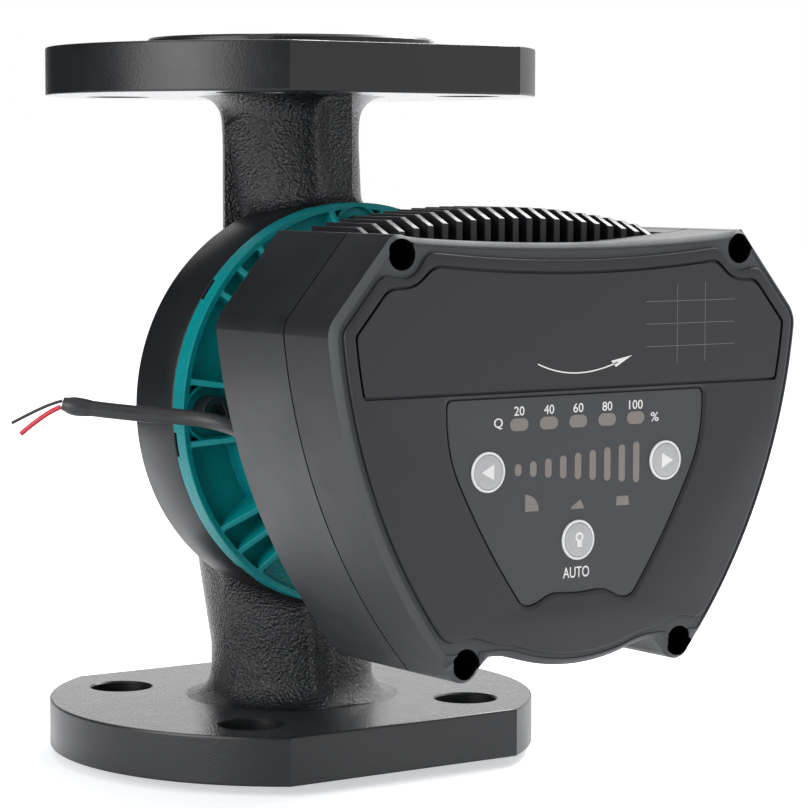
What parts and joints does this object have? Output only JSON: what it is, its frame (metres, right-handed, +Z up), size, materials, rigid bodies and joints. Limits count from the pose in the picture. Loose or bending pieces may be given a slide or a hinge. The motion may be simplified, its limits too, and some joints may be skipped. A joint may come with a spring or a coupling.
{
  "type": "circulator pump",
  "caption": "Flanged inline wet-rotor heating pump with a cast volute, ribbed teal motor housing, and a finned control box with a keypad panel.",
  "frame": {"origin": "centre of the lower sealing face, on the pipe axis", "axes": "+Z up the pipe axis from inlet to outlet, control panel faces -Y, +X to the right seen from the panel"},
  "size_m": [0.1891, 0.2081, 0.22],
  "materials": {
    "cast_black": "black dip coat over sand-cast iron",
    "stainless": "drawn stainless",
    "impeller_plastic": "moulded glass-filled plastic",
    "ceramic_white": "ground ceramic",
    "magnet": "sintered ferrite",
    "carbon": "carbon bush",
    "seal_rubber": "moulded rubber",
    "lamination": "stacked sheet",
    "copper": "enamelled copper",
    "lead_red": "coloured wire insulation",
    "teal_paint": "satin paint on die-cast aluminium",
    "black_steel": "black oxide",
    "shell_black": "satin black coat on die-cast aluminium",
    "zinc": "zinc plate",
    "board_green": "solder resist",
    "can_dark": "sleeved can",
    "chip_black": "moulded epoxy",
    "chip_amber": "phosphor lens",
    "cover_grey": "fine-grained moulded plastic",
    "plate_grey": "satin printed film",
    "keypad_grey": "satin film",
    "bezel_white": "white gloss",
    "button_silver": "silver-grey satin",
    "light_beige": "frosted light guide",
    "cable_black": "soft PVC"
  },
  "bodies": {
    "pump_body": {"pump_housing": "cast_black", "wear_ring": "stainless", "front_bearing": "carbon", "rear_bearing": "carbon", "bearing_plate": "stainless", "rotor_can": "stainless", "can_seal": "seal_rubber", "stator_core": "lamination", "stator_coils": "copper", "stator_leads": "lead_red", "motor_housing": "teal_paint", "motor_bolts": "black_steel", "housing_gasket": "seal_rubber", "rear_shell": "shell_black", "shell_screws": "zinc", "power_board": "board_green", "capacitors": "can_dark", "power_module": "chip_black", "choke": "copper", "board_screws": "zinc", "board_link": "chip_black", "control_board": "board_green", "push_switches": "chip_black", "indicator_chips": "chip_amber", "front_cover": "cover_grey", "cover_seal": "seal_rubber", "cover_screws": "black_steel", "rating_plate": "plate_grey", "keypad_overlay": "keypad_grey", "button_bezels": "bezel_white", "flow_lights": "light_beige", "level_lights": "light_beige", "mode_lights": "light_beige", "cable_gland": "cable_black", "signal_cable": "cable_black", "cable_sleeve": "cable_black", "black_core": "cable_black", "red_core": "lead_red"},
    "rotor": {"rotor_shaft": "ceramic_white", "rotor_magnet": "magnet", "rotor_sleeve": "stainless", "thrust_washer": "carbon", "impeller": "impeller_plastic", "impeller_nut": "stainless"},
    "left_button": {"left_button": "button_silver"},
    "right_button": {"right_button": "button_silver"},
    "auto_button": {"auto_button": "button_silver"}
  },
  "joints": [
    {"name": "rotor_spin", "type": "hinge", "parent": "pump_body", "child": "rotor", "pos_m": [0, 0, 0.11], "axis": [0, -1, 0], "continuous": true},
    {"name": "left_button_press", "type": "slide", "parent": "pump_body", "child": "left_button", "axis": [0, 1, 0], "range_m": [0, 0.0008], "stiffness_N_per_m": 2000},
    {"name": "right_button_press", "type": "slide", "parent": "pump_body", "child": "right_button", "axis": [0, 1, 0], "range_m": [0, 0.0008], "stiffness_N_per_m": 2000},
    {"name": "auto_button_press", "type": "slide", "parent": "pump_body", "child": "auto_button", "axis": [0, 1, 0], "range_m": [0, 0.0008], "stiffness_N_per_m": 2000}
  ]
}
